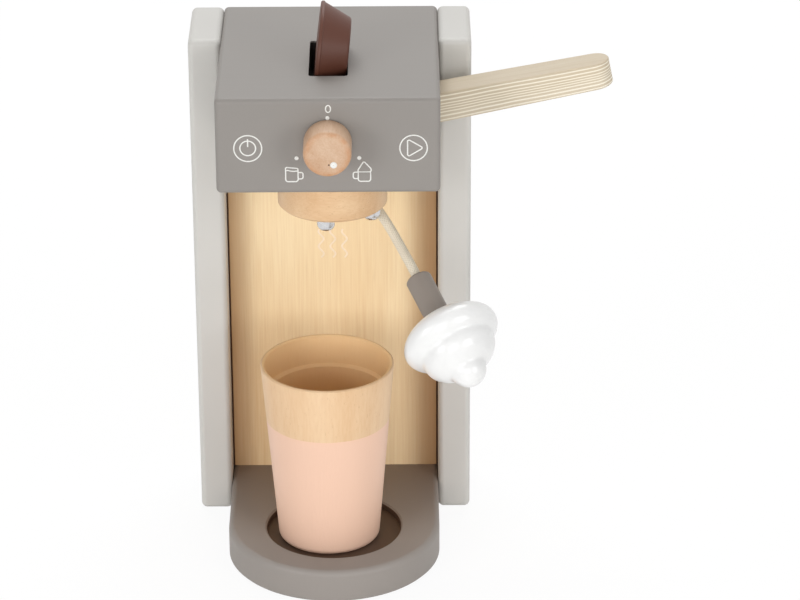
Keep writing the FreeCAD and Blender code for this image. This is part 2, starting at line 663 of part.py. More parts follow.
def cup():
    """Tapered turned cup, bored with a sloping shoulder below the rim."""
    outside = Part.makeCone(CUP_FOOT_RADIUS, CUP_RIM_RADIUS, CUP_HEIGHT)
    outside = outside.makeFillet(CUP_FOOT_EDGE, edges_at(outside, z=0))
    lower_wall = CUP_RIM_WALL + CUP_SHOULDER
    shoulder = CUP_HEIGHT - CUP_SHOULDER_DEPTH
    foot = cup_point(CUP_FLOOR, lower_wall)
    bore = turned(polyline([
        Vec(0, 0, CUP_FLOOR), foot - X_AXIS * CUP_FOOT_EDGE, cup_point(CUP_FLOOR + CUP_FOOT_EDGE, lower_wall),
        cup_point(shoulder - CUP_SHOULDER, lower_wall), cup_point(shoulder, CUP_RIM_WALL),
        cup_point(CUP_HEIGHT + 1, CUP_RIM_WALL), Vec(0, 0, CUP_HEIGHT + 1),
    ]), Vec(0, 0, 0), Z_AXIS)
    shell = outside.cut(bore)
    shell = shell.makeChamfer(CUP_RIM_EDGE, edges_at(shell, z=CUP_HEIGHT))
    shell.translate(Vec(CUP_SHIFT, -RECESS_OFFSET, RECESS_FLOOR))
    return shell


def frame_dowels():
    return Part.makeCompound([frame_dowel_solids(side) for side in (-1, 1)])


def panel_dowels():
    return Part.makeCompound([panel_dowel_solids(z) for z in (BASE_THICKNESS, HEAD_BOTTOM)])


def lever_pin():
    return pivot_rod(PIN_RADIUS, BEARER_THICKNESS)


SUB_PARTS = {
    "left_post": lambda: post(-1),
    "right_post": lambda: post(1),
    "base_plate": base_plate,
    "rear_panel": rear_panel,
    "head_front_board": head_front_board,
    "head_top_board": head_top_board,
    "head_left_board": lambda: head_side_board(-1),
    "head_right_board": head_right_board,
    "head_floor": head_floor,
    "head_rear_board": head_rear_board,
    "capsule_shelf": capsule_shelf,
    "front_lever_bearer": lambda: lever_bearer(-1),
    "rear_lever_bearer": lambda: lever_bearer(1),
    "lever": lever,
    "lever_pin": lever_pin,
    "knob": knob,
    "knob_washer": knob_washer,
    "knob_screw": knob_screw,
    "brew_head": brew_head,
    "brew_head_screw": brew_head_screw,
    "brew_studs": brew_studs,
    "cord_knot": cord_knot,
    "cream_cord": cream_cord,
    "cream_ferrule": cream_ferrule,
    "cream_dollop": cream_dollop,
    "capsule": capsule,
    "cup": cup,
    "frame_dowels": frame_dowels,
    "panel_dowels": panel_dowels,
}

os.makedirs("parts", exist_ok=True)
for node, build in SUB_PARTS.items():
    shape = build()
    shape.exportStep("parts/%s.step" % node)
    box = shape.BoundBox
    print("%-20s solids %d valid %s volume %9.1f  x %.1f %.1f  y %.1f %.1f  z %.1f %.1f" % (
        node, len(shape.Solids), shape.isValid(), shape.Volume,
        box.XMin, box.XMax, box.YMin, box.YMax, box.ZMin, box.ZMax))
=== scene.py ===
"""Wooden toy coffee maker: boards, capsule, lever, dial, cup and a cream dollop on its cord."""
import bpy
import math
from mathutils import Matrix, Vector


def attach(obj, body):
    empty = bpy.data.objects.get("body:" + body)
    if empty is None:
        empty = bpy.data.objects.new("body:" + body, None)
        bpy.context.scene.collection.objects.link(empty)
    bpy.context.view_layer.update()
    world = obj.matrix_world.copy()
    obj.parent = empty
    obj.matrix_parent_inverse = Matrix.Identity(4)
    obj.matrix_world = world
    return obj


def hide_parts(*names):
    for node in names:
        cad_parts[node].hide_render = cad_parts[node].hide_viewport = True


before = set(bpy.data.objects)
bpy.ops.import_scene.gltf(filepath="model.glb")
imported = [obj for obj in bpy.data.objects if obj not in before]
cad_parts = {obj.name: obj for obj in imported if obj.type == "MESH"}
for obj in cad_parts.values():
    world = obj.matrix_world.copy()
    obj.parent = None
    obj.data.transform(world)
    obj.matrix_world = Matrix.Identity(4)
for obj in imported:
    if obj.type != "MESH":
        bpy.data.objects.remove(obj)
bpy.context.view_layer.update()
bpy.ops.object.select_all(action="DESELECT")

# Camera
# It stands in front of the toy, 25 degrees above it, with a long lens, and is turned very slightly.
CAMERA_PLACE = Vector((0.02634, -1.39209, 0.75006))
CAMERA_TURN = math.radians(0.1)
CAMERA_DROP = math.radians(25.0)
CAMERA_ROLL = math.radians(-0.28)
CAMERA_LENS = 161.1

camera_data = bpy.data.cameras.new("camera")
camera_data.lens = CAMERA_LENS
camera_data.sensor_width = 36.0
camera_data.sensor_fit = "HORIZONTAL"
camera_data.clip_end = 20.0
camera = bpy.data.objects.new("camera", camera_data)
bpy.context.scene.collection.objects.link(camera)
bpy.context.scene.camera = camera
look = Vector((math.sin(CAMERA_TURN) * math.cos(CAMERA_DROP),
               math.cos(CAMERA_TURN) * math.cos(CAMERA_DROP), -math.sin(CAMERA_DROP)))
right = Vector((math.cos(CAMERA_TURN), -math.sin(CAMERA_TURN), 0))
up = right.cross(look)
rolled_right = right * math.cos(CAMERA_ROLL) + up * math.sin(CAMERA_ROLL)
rolled_up = up * math.cos(CAMERA_ROLL) - right * math.sin(CAMERA_ROLL)
camera.matrix_world = Matrix((
    (rolled_right.x, rolled_up.x, -look.x, CAMERA_PLACE.x),
    (rolled_right.y, rolled_up.y, -look.y, CAMERA_PLACE.y),
    (rolled_right.z, rolled_up.z, -look.z, CAMERA_PLACE.z),
    (0, 0, 0, 1),
))

# The cream's cord
# A stiff braided cotton cord, 4 mm thick, that comes out of the brew head and carries the cream.
# It is knotted inside the head and glued into the grip below, and it stays where it is bent.
CORD_DIAMETER = 0.004
CORD_ROUTE = (
    (0.0186, -0.0405, 0.1629),
    (0.0241, -0.0478, 0.1573),
    (0.0291, -0.0558, 0.1509),
    (0.0335, -0.0640, 0.1459),
    (0.0382, -0.0720, 0.1394),
)
CORD_PALE = (242, 232, 212)
CORD_DARK = (222, 209, 185)
BRAID_ALONG = 36.0
BRAID_AROUND = 9.0


def linear(colour):
    """Colour as the nodes take it, from the 0 to 255 values of a paint chart."""
    shares = [((value / 255 + 0.055) / 1.055) ** 2.4 if value > 10 else value / 3295 for value in colour]
    return (*shares, 1.0)


def wire(material, source, target):
    """Link two sockets of a material's node tree."""
    material.node_tree.links.new(source, target)


def new_material(name, roughness):
    """Material with its principled shader, ready for more nodes."""
    material = bpy.data.materials.new(name)
    material.use_nodes = True
    shader = material.node_tree.nodes["Principled BSDF"]
    shader.inputs["Roughness"].default_value = roughness
    return material, shader


def add(material, kind, **inputs):
    """Node of a material with the given input values."""
    node = material.node_tree.nodes.new(kind)
    for name, value in inputs.items():
        node.inputs[name.replace("_", " ")].default_value = value
    return node


def calculate(material, operation, first, second=None, third=None):
    """Math node; each argument is a socket or a number."""
    node = material.node_tree.nodes.new("ShaderNodeMath")
    node.operation = operation
    for index, value in enumerate((first, second, third)):
        if value is None:
            continue
        if isinstance(value, (int, float)):
            node.inputs[index].default_value = value
        else:
            wire(material, value, node.inputs[index])
    return node.outputs[0]


def blend_colours(material, factor, first, second, mode="MIX"):
    """Mix node for colours; each colour is a socket or a value."""
    node = material.node_tree.nodes.new("ShaderNodeMix")
    node.data_type = "RGBA"
    node.blend_type = mode
    for socket, value in ((node.inputs[0], factor), (node.inputs[6], first), (node.inputs[7], second)):
        if isinstance(value, (int, float, tuple)):
            socket.default_value = value
        else:
            wire(material, value, socket)
    return node.outputs[2]


def colour_between(material, shader, mask, first, second):
    """Base colour of a shader: the first colour where the mask is 0, the second where it is 1."""
    wire(material, blend_colours(material, mask, first, second), shader.inputs["Base Color"])


def bump(material, shader, height, strength, distance):
    """Bump of the given height on a shader."""
    node = add(material, "ShaderNodeBump", Strength=strength, Distance=distance)
    wire(material, height, node.inputs["Height"])
    wire(material, node.outputs["Normal"], shader.inputs["Normal"])


cord_curve = bpy.data.curves.new("cream_braided_cord", "CURVE")
cord_curve.dimensions = "3D"
cord_line = cord_curve.splines.new("NURBS")
cord_line.points.add(len(CORD_ROUTE) - 1)
for point, place in zip(cord_line.points, CORD_ROUTE):
    point.co = (*place, 1.0)
cord_line.order_u = 3
cord_line.use_endpoint_u = True
cord_curve.resolution_u = 24
cord_curve.bevel_depth = CORD_DIAMETER / 2
cord_curve.bevel_resolution = 8
cord_curve.use_fill_caps = True
cord_piece = bpy.data.objects.new("cream_braided_cord", cord_curve)
bpy.context.scene.collection.objects.link(cord_piece)

braid, braid_shader = new_material("cord_braid", 0.9)
braid_split = add(braid, "ShaderNodeSeparateXYZ")
wire(braid, add(braid, "ShaderNodeTexCoord").outputs["UV"], braid_split.inputs[0])
along = calculate(braid, "MULTIPLY", braid_split.outputs["X"], BRAID_ALONG)
around = calculate(braid, "MULTIPLY", braid_split.outputs["Y"], BRAID_AROUND)
strands = []
for crossing in ("ADD", "SUBTRACT"):
    phase = calculate(braid, "MULTIPLY", calculate(braid, crossing, along, around), 2 * math.pi)
    strands.append(calculate(braid, "SINE", phase))
braid_height = calculate(braid, "MAXIMUM", *strands)
braid_mask = calculate(braid, "MULTIPLY_ADD", braid_height, 0.5, 0.5)
colour_between(braid, braid_shader, braid_mask, linear(CORD_DARK), linear(CORD_PALE))
bump(braid, braid_shader, braid_height, 0.35, 0.0002)
cord_curve.materials.append(braid)
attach(cord_piece, "cream")
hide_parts("cream_cord")

# The cord's knot
# The same cord goes up through the brew head and ends in a knot inside the head.


def dress(node, material):
    """Give a CAD node its material."""
    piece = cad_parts[node]
    if piece.material_slots:
        for held in piece.material_slots:
            held.material = material
    else:
        piece.data.materials.append(material)
    return piece


def object_place(material):
    """Place of a point on the piece."""
    return add(material, "ShaderNodeTexCoord").outputs["Object"]


knot_braid, knot_shader = new_material("knot_braid", 0.9)
knot_weave = add(knot_braid, "ShaderNodeTexVoronoi", Scale=900.0)
wire(knot_braid, object_place(knot_braid), knot_weave.inputs["Vector"])
knot_cells = knot_weave.outputs["Distance"]
colour_between(knot_braid, knot_shader, knot_cells, linear(CORD_PALE), linear(CORD_DARK))
bump(knot_braid, knot_shader, knot_cells, 0.5, 0.0004)
dress("cord_knot", knot_braid)

# Posts
# Two upright boards of solid wood, sprayed a light warm grey, with all edges well rounded.
# They carry the base and the head on hidden dowels.
POST_PAINT = (209, 207, 202)


def build_paint_film():
    """Sprayed paint on wood: slight tone changes, faint grain under it and a fine orange peel."""
    group = bpy.data.node_groups.new("paint_film", "ShaderNodeTree")
    for name, kind in (("Place", "NodeSocketVector"), ("Paint", "NodeSocketColor"),
                       ("Grain Stretch", "NodeSocketVector"), ("Tone", "NodeSocketFloat")):
        group.interface.new_socket(name, in_out="INPUT", socket_type=kind)
    for name, kind in (("Colour", "NodeSocketColor"), ("Height", "NodeSocketFloat"),
                       ("Roughness", "NodeSocketFloat")):
        group.interface.new_socket(name, in_out="OUTPUT", socket_type=kind)
    nodes, links = group.nodes, group.links
    given = nodes.new("NodeGroupInput")
    result = nodes.new("NodeGroupOutput")
    stretch = nodes.new("ShaderNodeVectorMath")
    stretch.operation = "MULTIPLY"
    links.new(given.outputs["Place"], stretch.inputs[0])
    links.new(given.outputs["Grain Stretch"], stretch.inputs[1])
    grain = nodes.new("ShaderNodeTexNoise")
    grain.inputs["Scale"].default_value = 1.0
    grain.inputs["Detail"].default_value = 4.0
    links.new(stretch.outputs[0], grain.inputs["Vector"])
    cloud = nodes.new("ShaderNodeTexNoise")
    cloud.inputs["Scale"].default_value = 18.0
    cloud.inputs["Detail"].default_value = 2.0
    links.new(given.outputs["Place"], cloud.inputs["Vector"])
    peel = nodes.new("ShaderNodeTexNoise")
    peel.inputs["Scale"].default_value = 900.0
    peel.inputs["Detail"].default_value = 2.0
    links.new(given.outputs["Place"], peel.inputs["Vector"])
    shade = nodes.new("ShaderNodeMapRange")
    shade.inputs["From Min"].default_value = 0.3
    shade.inputs["From Max"].default_value = 0.7
    shade.inputs["To Min"].default_value = -1.0
    shade.inputs["To Max"].default_value = 1.0
    links.new(cloud.outputs["Fac"], shade.inputs["Value"])
    amount = nodes.new("ShaderNodeMath")
    amount.operation = "MULTIPLY_ADD"
    amount.inputs[2].default_value = 1.0
    links.new(shade.outputs["Result"], amount.inputs[0])
    links.new(given.outputs["Tone"], amount.inputs[1])
    tint = nodes.new("ShaderNodeVectorMath")
    tint.operation = "SCALE"
    links.new(given.outputs["Paint"], tint.inputs[0])
    links.new(amount.outputs[0], tint.inputs["Scale"])
    links.new(tint.outputs[0], result.inputs["Colour"])
    relief = nodes.new("ShaderNodeMath")
    relief.operation = "MULTIPLY_ADD"
    relief.inputs[1].default_value = 0.35
    links.new(peel.outputs["Fac"], relief.inputs[0])
    links.new(grain.outputs["Fac"], relief.inputs[2])
    links.new(relief.outputs[0], result.inputs["Height"])
    gloss = nodes.new("ShaderNodeMapRange")
    gloss.inputs["To Min"].default_value = 0.46
    gloss.inputs["To Max"].default_value = 0.62
    links.new(cloud.outputs["Fac"], gloss.inputs["Value"])
    links.new(gloss.outputs["Result"], result.inputs["Roughness"])
    return group


paint_film = build_paint_film()


def painted(name, colour, stretch, tone=0.03, relief=0.12):
    """Material of painted wood."""
    material, shader = new_material(name, 0.55)
    film = material.node_tree.nodes.new("ShaderNodeGroup")
    film.node_tree = paint_film
    wire(material, object_place(material), film.inputs["Place"])
    film.inputs["Paint"].default_value = linear(colour)
    film.inputs["Grain Stretch"].default_value = stretch
    film.inputs["Tone"].default_value = tone
    wire(material, film.outputs["Colour"], shader.inputs["Base Color"])
    wire(material, film.outputs["Roughness"], shader.inputs["Roughness"])
    bump(material, shader, film.outputs["Height"], relief, 0.0006)
    return material


post_paint = painted("post_paint", POST_PAINT, (300.0, 300.0, 14.0))
dress("left_post", post_paint)
dress("right_post", post_paint)

# Base plate
# A board with a round nose and a shallow turned recess for the cup, sprayed a darker taupe grey.
# Painted shade makes the paint darker and browner in the recess and towards the rear panel, under the head.
# Dowels hold it between the posts.
BASE_PAINT = (155, 148, 142)
BASE_REAR_SHADE = (112, 90, 74)
BASE_SHADE_START = -0.055
BASE_SHADE_END = 0.012
RECESS_SHADE = (88, 68, 53)
RECESS_MIDDLE = -0.0417
RECESS_RADIUS = 0.0288
RECESS_LIP = 0.0138


def object_axes(material):
    """X, Y and Z of a point on the piece, each by its letter."""
    split = add(material, "ShaderNodeSeparateXYZ")
    wire(material, object_place(material), split.inputs[0])
    return split.outputs


def ramp(material, value, kind="LINEAR", **ends):
    """Value moved from one range to another."""
    node = add(material, "ShaderNodeMapRange", **ends)
    node.interpolation_type = kind
    wire(material, value, node.inputs["Value"])
    return node.outputs["Result"]


def reach(material, first, second):
    """Distance from an axis, from the two offsets across it."""
    square = calculate(material, "MULTIPLY", second, second)
    return calculate(material, "SQRT", calculate(material, "MULTIPLY_ADD", first, first, square))


base_paint = painted("base_paint", BASE_PAINT, (300.0, 14.0, 300.0))
base_shader = base_paint.node_tree.nodes["Principled BSDF"]
base_axes = object_axes(base_paint)
# Painted shade: the recess floor is painted darker and browner in place of the shade and warm bounce in the
# hollow.
recess_y = calculate(base_paint, "SUBTRACT", base_axes["Y"], RECESS_MIDDLE)
recess_reach = reach(base_paint, base_axes["X"], recess_y)
recess_near = calculate(base_paint, "LESS_THAN", recess_reach, RECESS_RADIUS)
recess_low = calculate(base_paint, "LESS_THAN", base_axes["Z"], RECESS_LIP)
recess_inside = calculate(base_paint, "MULTIPLY", recess_near, recess_low)
# Painted shade: towards the rear panel, under the head, the paint is darkened and browned in place of shade
# and warm bounce light.
base_rear_shade = ramp(base_paint, base_axes["Y"], From_Min=BASE_SHADE_START, From_Max=BASE_SHADE_END, To_Max=0.6)
base_film = base_shader.inputs["Base Color"].links[0].from_socket
base_shaded = blend_colours(base_paint, base_rear_shade, base_film, linear(BASE_REAR_SHADE))
colour_between(base_paint, base_shader, recess_inside, base_shaded, linear(RECESS_SHADE))
dress("base_plate", base_paint)

# Head
# A box of boards, glued and dowelled between the posts and sprayed taupe grey.
# The dial is on its front, and the lever comes out of its right side.
BODY_PAINT = (142, 137, 132)
HEAD_GRAIN = (14.0, 300.0, 300.0)
head_paint = painted("head_paint", BODY_PAINT, HEAD_GRAIN)
for board in ("head_front_board", "head_left_board", "head_right_board", "head_floor", "head_rear_board"):
    dress(board, head_paint)

# Top board and the shelf in it
# The capsule stands in the slot of the top board, on a shelf that closes the slot below.
# Both are sprayed like the head, and the slot's sawn walls and the shelf under it are painted nearly black
# as painted shade.
SLOT_HALF_WIDTH = 0.0081
SLOT_HALF_LENGTH = 0.0201
SLOT_MIDDLE = -0.0205
SLOT_LIP = 0.2193
SLOT_SHADE = (34, 27, 23)
slot_paint = painted("slot_paint", BODY_PAINT, HEAD_GRAIN)
slot_shader = slot_paint.node_tree.nodes["Principled BSDF"]
slot_axes = object_axes(slot_paint)
# Painted shade: inside the slot, below its lip, the colour is near black in place of the shade there.
slot_x = calculate(slot_paint, "ABSOLUTE", slot_axes["X"])
slot_y = calculate(slot_paint, "ABSOLUTE", calculate(slot_paint, "SUBTRACT", slot_axes["Y"], SLOT_MIDDLE))
slot_across = calculate(slot_paint, "LESS_THAN", slot_x, SLOT_HALF_WIDTH)
slot_along = calculate(slot_paint, "LESS_THAN", slot_y, SLOT_HALF_LENGTH)
slot_low = calculate(slot_paint, "LESS_THAN", slot_axes["Z"], SLOT_LIP)
slot_plan = calculate(slot_paint, "MULTIPLY", slot_across, slot_along)
slot_inside = calculate(slot_paint, "MULTIPLY", slot_plan, slot_low)
slot_film = slot_shader.inputs["Base Color"].links[0].from_socket
colour_between(slot_paint, slot_shader, slot_inside, slot_film, linear(SLOT_SHADE))
dress("head_top_board", slot_paint)
dress("capsule_shelf", slot_paint)

# Rear panel
# A plywood board with upright face grain and a clear matt lacquer, set back between the posts.
# Dowels hold it at both ends. Its long edges are browned with painted shade from the posts, and painted
# shade makes a dark line down the arris.
PANEL_PALE = (255, 232, 190)
PANEL_DARK = (232, 196, 146)
PANEL_EDGE_SHADE = (166, 120, 72)
PANEL_GAP_SHADE = (84, 58, 40)
PANEL_HALF = 0.0452
PANEL_FADE = 0.016
PANEL_LEAN = 0.002
GAP_SHADE_START = 0.0009
GAP_SHADE_END = 0.0006


def build_wood_grain():
    """Lacquered wood: long grain bands, fine fibres and short dark pores."""
    group = bpy.data.node_groups.new("wood_grain", "ShaderNodeTree")
    for name, kind in (("Place", "NodeSocketVector"), ("Pale", "NodeSocketColor"),
                       ("Dark", "NodeSocketColor"), ("Band Stretch", "NodeSocketVector"),
                       ("Fibre Stretch", "NodeSocketVector"), ("Pores", "NodeSocketFloat")):
        group.interface.new_socket(name, in_out="INPUT", socket_type=kind)
    for name, kind in (("Colour", "NodeSocketColor"), ("Height", "NodeSocketFloat")):
        group.interface.new_socket(name, in_out="OUTPUT", socket_type=kind)
    nodes, links = group.nodes, group.links
    given = nodes.new("NodeGroupInput")
    result = nodes.new("NodeGroupOutput")
    noises = []
    for stretch_name, scale, detail, warp in (
            ("Band Stretch", 1.0, 3.0, 0.6),
            ("Fibre Stretch", 1.0, 5.0, 0.0),
            ("Fibre Stretch", 2.3, 2.0, 0.0)):
        stretch = nodes.new("ShaderNodeVectorMath")
        stretch.operation = "MULTIPLY"
        links.new(given.outputs["Place"], stretch.inputs[0])
        links.new(given.outputs[stretch_name], stretch.inputs[1])
        noise = nodes.new("ShaderNodeTexNoise")
        noise.inputs["Scale"].default_value = scale
        noise.inputs["Detail"].default_value = detail
        noise.inputs["Distortion"].default_value = warp
        links.new(stretch.outputs[0], noise.inputs["Vector"])
        noises.append(noise)
    bands, fibres, pores = noises
    band_mask = nodes.new("ShaderNodeMapRange")
    band_mask.inputs["From Min"].default_value = 0.32
    band_mask.inputs["From Max"].default_value = 0.68
    links.new(bands.outputs["Fac"], band_mask.inputs["Value"])
    fibre_mask = nodes.new("ShaderNodeMapRange")
    fibre_mask.inputs["From Min"].default_value = 0.3
    fibre_mask.inputs["From Max"].default_value = 0.7
    links.new(fibres.outputs["Fac"], fibre_mask.inputs["Value"])
    both = nodes.new("ShaderNodeMix")
    both.inputs[0].default_value = 0.38
    links.new(band_mask.outputs["Result"], both.inputs[2])
    links.new(fibre_mask.outputs["Result"], both.inputs[3])
    tone = nodes.new("ShaderNodeMix")
    tone.data_type = "RGBA"
    links.new(both.outputs[0], tone.inputs[0])
    links.new(given.outputs["Pale"], tone.inputs[6])
    links.new(given.outputs["Dark"], tone.inputs[7])
    pore_mask = nodes.new("ShaderNodeMapRange")
    pore_mask.inputs["From Min"].default_value = 0.66
    pore_mask.inputs["From Max"].default_value = 0.74
    links.new(pores.outputs["Fac"], pore_mask.inputs["Value"])
    pore_amount = nodes.new("ShaderNodeMath")
    pore_amount.operation = "MULTIPLY"
    links.new(pore_mask.outputs["Result"], pore_amount.inputs[0])
    links.new(given.outputs["Pores"], pore_amount.inputs[1])
    spotted = nodes.new("ShaderNodeMix")
    spotted.data_type = "RGBA"
    spotted.blend_type = "MULTIPLY"
    spotted.inputs[7].default_value = (0.45, 0.28, 0.16, 1.0)
    links.new(pore_amount.outputs[0], spotted.inputs[0])
    links.new(tone.outputs[2], spotted.inputs[6])
    links.new(spotted.outputs[2], result.inputs["Colour"])
    relief = nodes.new("ShaderNodeMath")
    relief.operation = "SUBTRACT"
    links.new(fibre_mask.outputs["Result"], relief.inputs[0])
    links.new(pore_amount.outputs[0], relief.inputs[1])
    links.new(relief.outputs[0], result.inputs["Height"])
    return group


wood_grain = build_wood_grain()


def lacquered(name, pale, dark, bands, fibres, pores, roughness=0.5, relief=0.1):
    """Material of clear lacquered wood, with its grain node for later changes."""
    material, shader = new_material(name, roughness)
    grain = material.node_tree.nodes.new("ShaderNodeGroup")
    grain.node_tree = wood_grain
    wire(material, object_place(material), grain.inputs["Place"])
    grain.inputs["Pale"].default_value = linear(pale)
    grain.inputs["Dark"].default_value = linear(dark)
    grain.inputs["Band Stretch"].default_value = bands
    grain.inputs["Fibre Stretch"].default_value = fibres
    grain.inputs["Pores"].default_value = pores
    wire(material, grain.outputs["Colour"], shader.inputs["Base Color"])
    bump(material, shader, grain.outputs["Height"], relief, 0.0004)
    return material, shader, grain


panel_wood, panel_shader, panel_grain = lacquered(
    "panel_plywood", PANEL_PALE, PANEL_DARK, (26.0, 26.0, 5.0), (1100.0, 1100.0, 30.0), 0.1)
panel_axes = object_axes(panel_wood)
# Painted shade: the colour browns towards the long edges, where the posts shade the panel, more on the
# right.
panel_lean = calculate(panel_wood, "ABSOLUTE", calculate(panel_wood, "ADD", panel_axes["X"], PANEL_LEAN))
panel_edge_shade = ramp(panel_wood, panel_lean, "SMOOTHSTEP",
                  From_Min=PANEL_HALF - PANEL_FADE, From_Max=PANEL_HALF, To_Max=0.8)
# Painted shade: a dark line down the arris stands in for the shade in the gap at the posts.
panel_side = calculate(panel_wood, "ABSOLUTE", panel_axes["X"])
panel_gap_shade = ramp(panel_wood, panel_side,
                   From_Min=PANEL_HALF - GAP_SHADE_START, From_Max=PANEL_HALF - GAP_SHADE_END)
panel_shaded = blend_colours(panel_wood, panel_edge_shade, panel_grain.outputs["Colour"], linear(PANEL_EDGE_SHADE))
colour_between(panel_wood, panel_shader, panel_gap_shade, panel_shaded, linear(PANEL_GAP_SHADE))
dress("rear_panel", panel_wood)

# Brew head, lever bearers and dowels
# A turned beech disc under the head, screwed on from inside, end grain down.
# The blocks that carry the lever's pin and all the glued dowels are beech too.
BEECH_PALE = (232, 199, 158)
BEECH_DARK = (214, 172, 128)
disc_wood = lacquered(
    "disc_beech", BEECH_PALE, BEECH_DARK, (40.0, 90.0, 90.0), (260.0, 1500.0, 1500.0), 0.6)[0]
dress("brew_head", disc_wood)
dress("front_lever_bearer", disc_wood)
dress("rear_lever_bearer", disc_wood)
dowel_wood = lacquered(
    "dowel_beech", BEECH_PALE, BEECH_DARK, (40.0, 90.0, 90.0), (120.0, 1500.0, 1500.0), 0.4,
    roughness=0.7)[0]
dress("frame_dowels", dowel_wood)
dress("panel_dowels", dowel_wood)

# Dial knob
# A turned beech knob with its end grain to the front and a browner ring round its face.
# Its spigot runs in the front board, held by a washer and a screw from inside.
KNOB_RADIUS = 0.0097
KNOB_HEIGHT = 0.2016
KNOB_FACE = -0.0795
KNOB_PALE = (214, 184, 156)
KNOB_DARK = (192, 150, 116)
KNOB_RING = (196, 140, 96)


def speckle(material, scale, detail=2.0):
    """Fine noise over the piece."""
    noise = add(material, "ShaderNodeTexNoise", Scale=scale, Detail=detail)
    wire(material, object_place(material), noise.inputs["Vector"])
    return noise.outputs["Fac"]


knob_wood, knob_shader, knob_grain = lacquered(
    "knob_beech", KNOB_PALE, KNOB_DARK, (90.0, 30.0, 90.0), (1500.0, 160.0, 1500.0), 0.5)
knob_axes = object_axes(knob_wood)
knob_up = calculate(knob_wood, "SUBTRACT", knob_axes["Z"], KNOB_HEIGHT)
knob_reach = reach(knob_wood, knob_up, knob_axes["X"])
knob_rim = ramp(knob_wood, knob_reach, From_Min=KNOB_RADIUS - 0.0028, From_Max=KNOB_RADIUS - 0.0012)
knob_front = ramp(knob_wood, knob_axes["Y"], From_Min=KNOB_FACE + 0.0014, From_Max=KNOB_FACE + 0.0004)
knob_patch = ramp(knob_wood, speckle(knob_wood, 420.0, 4.0),
                  From_Min=0.35, From_Max=0.65, To_Min=0.2, To_Max=0.75)
knob_edge = calculate(knob_wood, "MULTIPLY", knob_rim, knob_front)
knob_ring = calculate(knob_wood, "MULTIPLY", knob_patch, knob_edge)
colour_between(knob_wood, knob_shader, knob_ring, knob_grain.outputs["Colour"], linear(KNOB_RING))
dress("knob", knob_wood)

# Studs, screws, washer and pin
# Bright turned steel. The studs' round noses show under the brew head; the rest is hidden.
STEEL = (200, 200, 202)
STEEL_BRIGHT = (225, 225, 226)
steel, steel_shader = new_material("bright_steel", 0.25)
steel_shader.inputs["Metallic"].default_value = 1.0
steel_lines = speckle(steel, 700.0, 3.0)
wire(steel, ramp(steel, steel_lines, To_Min=0.15, To_Max=0.4), steel_shader.inputs["Roughness"])
colour_between(steel, steel_shader, steel_lines, linear(STEEL), linear(STEEL_BRIGHT))
bump(steel, steel_shader, steel_lines, 0.05, 0.0002)
for part in ("brew_studs", "brew_head_screw", "knob_screw", "knob_washer", "lever_pin"):
    dress(part, steel)

# Lever
# A tapered piece of birch plywood that turns on a steel pin inside the head. It has a plain veneer
# on top, and its layers show as thin lines on the front and round the end.
LEVER_TILT = math.radians(11.3)
LEVER_PIVOT = (0.024, -0.018, 0.1954)
LEVER_PLIES = 9
LEVER_THICKNESS = 0.0132
LEVER_TAPER = 0.0011 / 0.0937
PLY_PALE = (215, 202, 180)
PLY_DARK = (194, 173, 141)
PLY_LINE = (246, 238, 219)
PLY_VEIN = (203, 186, 158)
lever_wood, lever_shader = new_material("lever_plywood", 0.5)
lever_turn = lever_wood.node_tree.nodes.new("ShaderNodeMapping")
lever_turn.vector_type = "TEXTURE"
lever_turn.inputs["Location"].default_value = LEVER_PIVOT
lever_turn.inputs["Rotation"].default_value = (0.0, -LEVER_TILT, 0.0)
wire(lever_wood, object_place(lever_wood), lever_turn.inputs["Vector"])
lever_grain = lever_wood.node_tree.nodes.new("ShaderNodeGroup")
lever_grain.node_tree = wood_grain
wire(lever_wood, lever_turn.outputs["Vector"], lever_grain.inputs["Place"])
lever_grain.inputs["Pale"].default_value = linear(PLY_PALE)
lever_grain.inputs["Dark"].default_value = linear(PLY_VEIN)
lever_grain.inputs["Band Stretch"].default_value = (10.0, 140.0, 140.0)
lever_grain.inputs["Fibre Stretch"].default_value = (45.0, 1600.0, 1600.0)
lever_grain.inputs["Pores"].default_value = 0.2
lever_split = add(lever_wood, "ShaderNodeSeparateXYZ")
wire(lever_wood, lever_turn.outputs["Vector"], lever_split.inputs[0])
ply_wobble = add(lever_wood, "ShaderNodeTexNoise", Scale=45.0, Detail=2.0)
wire(lever_wood, lever_turn.outputs["Vector"], ply_wobble.inputs["Vector"])
lever_half = calculate(lever_wood, "MULTIPLY_ADD", lever_split.outputs["X"], -LEVER_TAPER,
                       LEVER_THICKNESS / 2)
ply_share = calculate(lever_wood, "DIVIDE", lever_split.outputs["Z"], lever_half)
ply_uneven = calculate(lever_wood, "SINE", calculate(lever_wood, "MULTIPLY", ply_share, 5.3))
ply_wave = calculate(lever_wood, "MULTIPLY_ADD", ply_wobble.outputs["Fac"], 0.5, 0.25)
ply_shift = calculate(lever_wood, "MULTIPLY_ADD", ply_uneven, 0.22, ply_wave)
ply_place = calculate(lever_wood, "MULTIPLY_ADD", ply_share, LEVER_PLIES / 2, ply_shift)
ply_offset = calculate(lever_wood, "SUBTRACT", calculate(lever_wood, "FRACT", ply_place), 0.5)
ply_part = calculate(lever_wood, "ABSOLUTE", ply_offset)
ply_line = ramp(lever_wood, ply_part, From_Min=0.26, From_Max=0.42)
glue_line = ramp(lever_wood, ply_part, From_Min=0.1, From_Max=0.02, To_Max=0.5)
ply_height = calculate(lever_wood, "ABSOLUTE", ply_share)
ply_side = ramp(lever_wood, ply_height, From_Min=0.97, From_Max=0.9)
ply_pale = calculate(lever_wood, "MULTIPLY", ply_line, ply_side)
ply_dark = calculate(lever_wood, "MULTIPLY", glue_line, ply_side)
lever_lines = blend_colours(lever_wood, ply_pale, lever_grain.outputs["Colour"], linear(PLY_LINE))
